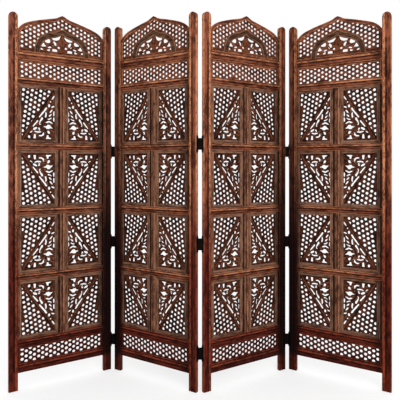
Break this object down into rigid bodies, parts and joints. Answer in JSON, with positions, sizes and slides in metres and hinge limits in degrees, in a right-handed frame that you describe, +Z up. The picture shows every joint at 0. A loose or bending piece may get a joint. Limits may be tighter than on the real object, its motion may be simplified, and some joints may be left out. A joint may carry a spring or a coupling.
{
  "type": "folding screen",
  "caption": "Free-standing wooden folding screen: pierced lattice and carved inserts in post-and-rail panels, folding in a zigzag on double-action iron hinges.",
  "frame": {"origin": "on the floor, in the middle of the standing screen's footprint", "axes": "+X to the viewer's right along the screen, +Y from the front to the back, +Z up"},
  "size_m": [1.8326, 0.2788, 1.829],
  "materials": {
    "frame_wood": "antique red-brown stain, worn on the edges, low sheen",
    "insert_wood": "greyer brown stain, worn on the edges, low sheen",
    "lattice_wood": "dark red-brown stain, worn on the edges, low sheen",
    "iron": "blackened iron, dull"
  },
  "bodies": {
    "panel_1": {"panel_1_left_post": "frame_wood", "panel_1_right_post": "frame_wood", "panel_1_frame_rails": "frame_wood", "panel_1_row_rails": "frame_wood", "panel_1_mullions": "insert_wood", "panel_1_insert_row_1": "insert_wood", "panel_1_insert_row_2": "insert_wood", "panel_1_insert_row_3": "insert_wood", "panel_1_insert_row_4": "insert_wood", "panel_1_crown": "lattice_wood", "panel_1_top_band": "lattice_wood", "panel_1_bottom_band": "lattice_wood", "panel_1_hinge_leaves": "iron", "panel_1_hinge_pins": "iron"},
    "panel_2": {"panel_2_left_post": "frame_wood", "panel_2_right_post": "frame_wood", "panel_2_frame_rails": "frame_wood", "panel_2_row_rails": "frame_wood", "panel_2_mullions": "insert_wood", "panel_2_insert_row_1": "insert_wood", "panel_2_insert_row_2": "insert_wood", "panel_2_insert_row_3": "insert_wood", "panel_2_insert_row_4": "insert_wood", "panel_2_crown": "lattice_wood", "panel_2_top_band": "lattice_wood", "panel_2_bottom_band": "lattice_wood", "panel_2_hinge_leaves": "iron", "panel_2_hinge_pins": "iron"},
    "panel_3": {"panel_3_left_post": "frame_wood", "panel_3_right_post": "frame_wood", "panel_3_frame_rails": "frame_wood", "panel_3_row_rails": "frame_wood", "panel_3_mullions": "insert_wood", "panel_3_insert_row_1": "insert_wood", "panel_3_insert_row_2": "insert_wood", "panel_3_insert_row_3": "insert_wood", "panel_3_insert_row_4": "insert_wood", "panel_3_crown": "lattice_wood", "panel_3_top_band": "lattice_wood", "panel_3_bottom_band": "lattice_wood", "panel_3_hinge_leaves": "iron", "panel_3_hinge_pins": "iron"},
    "panel_4": {"panel_4_left_post": "frame_wood", "panel_4_right_post": "frame_wood", "panel_4_frame_rails": "frame_wood", "panel_4_row_rails": "frame_wood", "panel_4_mullions": "insert_wood", "panel_4_insert_row_1": "insert_wood", "panel_4_insert_row_2": "insert_wood", "panel_4_insert_row_3": "insert_wood", "panel_4_insert_row_4": "insert_wood", "panel_4_crown": "lattice_wood", "panel_4_top_band": "lattice_wood", "panel_4_bottom_band": "lattice_wood", "panel_4_hinge_leaves": "iron", "panel_4_hinge_pins": "iron"},
    "link_1": {"fold_1_links": "iron"},
    "link_2": {"fold_2_links": "iron"},
    "link_3": {"fold_3_links": "iron"}
  },
  "joints": [
    {"name": "fold_1_inner_pin", "type": "hinge", "parent": "panel_2", "child": "link_1", "pos_m": [-0.45177, 0.13257, 0.69], "axis": [0, 0, 1], "range_deg": [-31, 59]},
    {"name": "fold_1_outer_pin", "type": "hinge", "parent": "link_1", "child": "panel_1", "pos_m": [-0.47277, 0.13257, 0.69], "axis": [0, 0, 1], "range_deg": [-31, 59]},
    {"name": "fold_2_left_pin", "type": "hinge", "parent": "link_2", "child": "panel_2", "pos_m": [-0.0105, -0.13257, 0.69], "axis": [0, 0, -1], "range_deg": [-31, 59]},
    {"name": "fold_2_right_pin", "type": "hinge", "parent": "link_2", "child": "panel_3", "pos_m": [0.0105, -0.13257, 0.69], "axis": [0, 0, 1], "range_deg": [-31, 59]},
    {"name": "fold_3_inner_pin", "type": "hinge", "parent": "panel_3", "child": "link_3", "pos_m": [0.45177, 0.13257, 0.69], "axis": [0, 0, -1], "range_deg": [-31, 59]},
    {"name": "fold_3_outer_pin", "type": "hinge", "parent": "link_3", "child": "panel_4", "pos_m": [0.47277, 0.13257, 0.69], "axis": [0, 0, -1], "range_deg": [-31, 59]}
  ]
}
